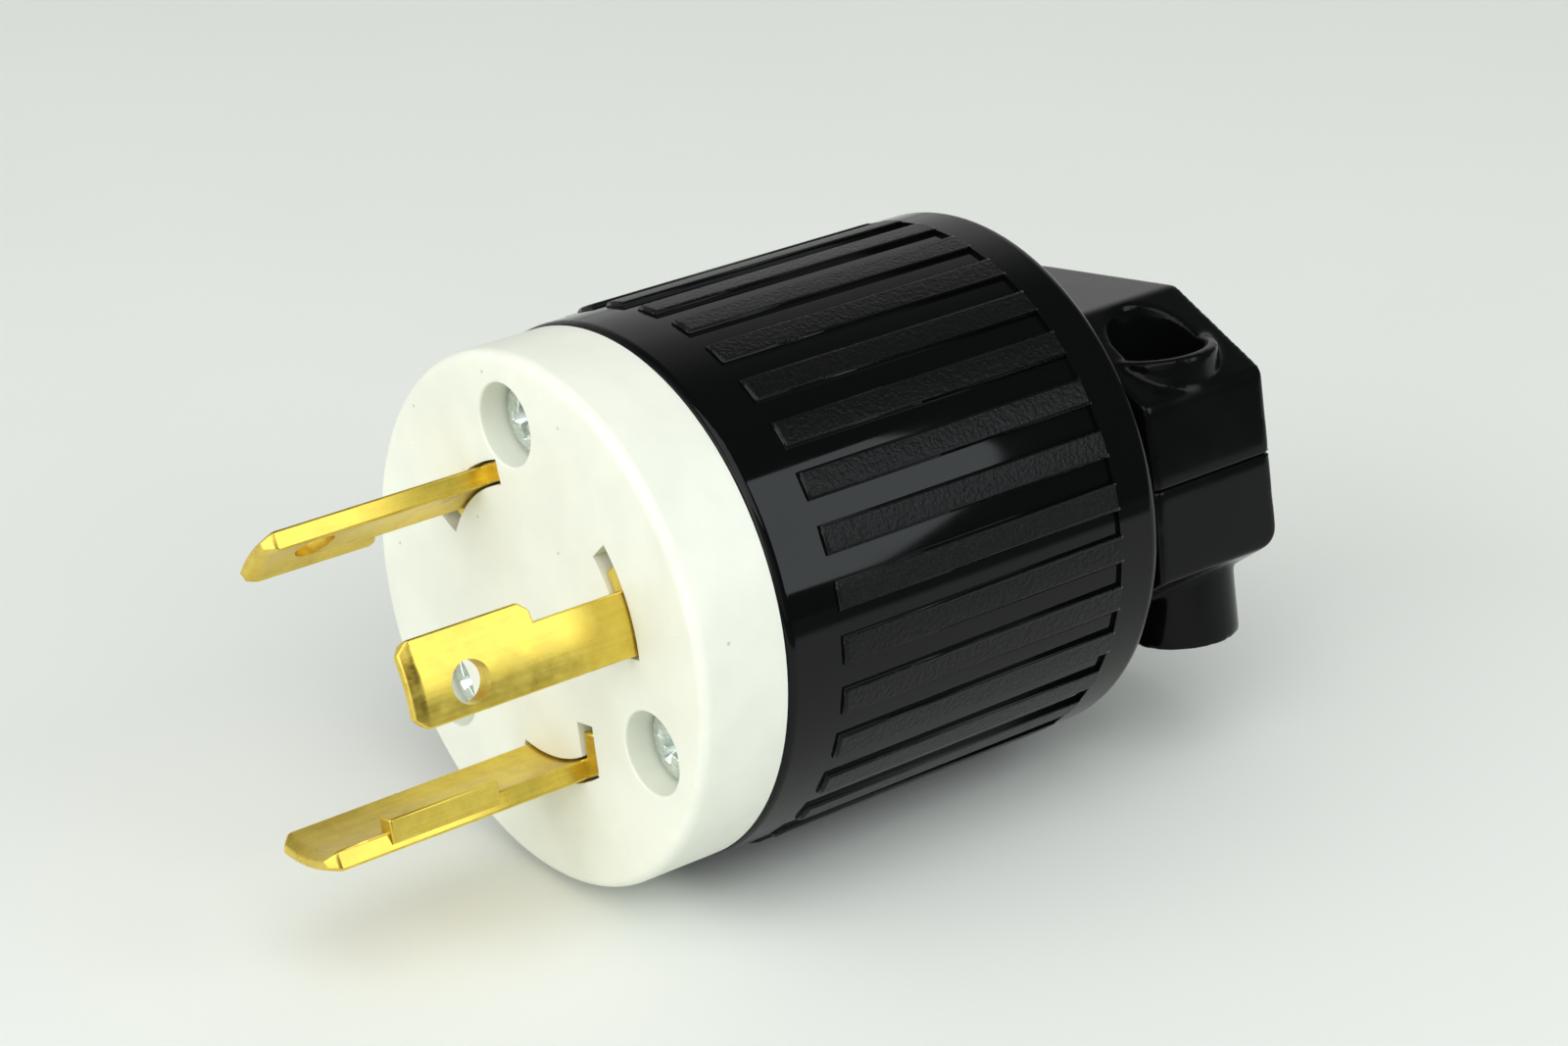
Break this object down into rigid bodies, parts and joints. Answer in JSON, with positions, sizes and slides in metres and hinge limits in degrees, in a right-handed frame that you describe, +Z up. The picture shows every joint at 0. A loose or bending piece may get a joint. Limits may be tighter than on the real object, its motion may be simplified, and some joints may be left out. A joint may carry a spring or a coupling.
{
  "type": "locking power plug",
  "caption": "Round locking power plug with curved brass blades, a white nose, a black housing with grip pads and a split cord clamp.",
  "frame": {"origin": "on the plug's axis at the centre of the nose face, from which the blades stand out", "axes": "+X along the axis towards the blade tips, +Z up as the plug lies on its side, +Y to the left seen along +X"},
  "size_m": [0.0963, 0.0508, 0.0508],
  "materials": {
    "white_nylon": "white moulded nylon, satin",
    "black_nylon": "black moulded nylon, grained grip pads on a glossy ground",
    "brass": "bare stamped brass, lightly burnished",
    "zinc_steel": "zinc-plated steel",
    "green_screw": "green-dyed steel, marks the ground terminal"
  },
  "bodies": {
    "root": {"nose": "white_nylon", "terminal_carrier": "white_nylon", "line_blade_1": "brass", "line_blade_2": "brass", "ground_blade": "brass", "wire_plate_1": "zinc_steel", "wire_plate_2": "zinc_steel", "wire_plate_ground": "zinc_steel", "line_terminal_screws": "brass", "ground_terminal_screw": "green_screw", "face_screws": "zinc_steel", "housing": "black_nylon", "cord_clamp_upper": "black_nylon", "cord_clamp_lower": "black_nylon", "cord_clamp_screws": "zinc_steel"}
  },
  "joints": []
}
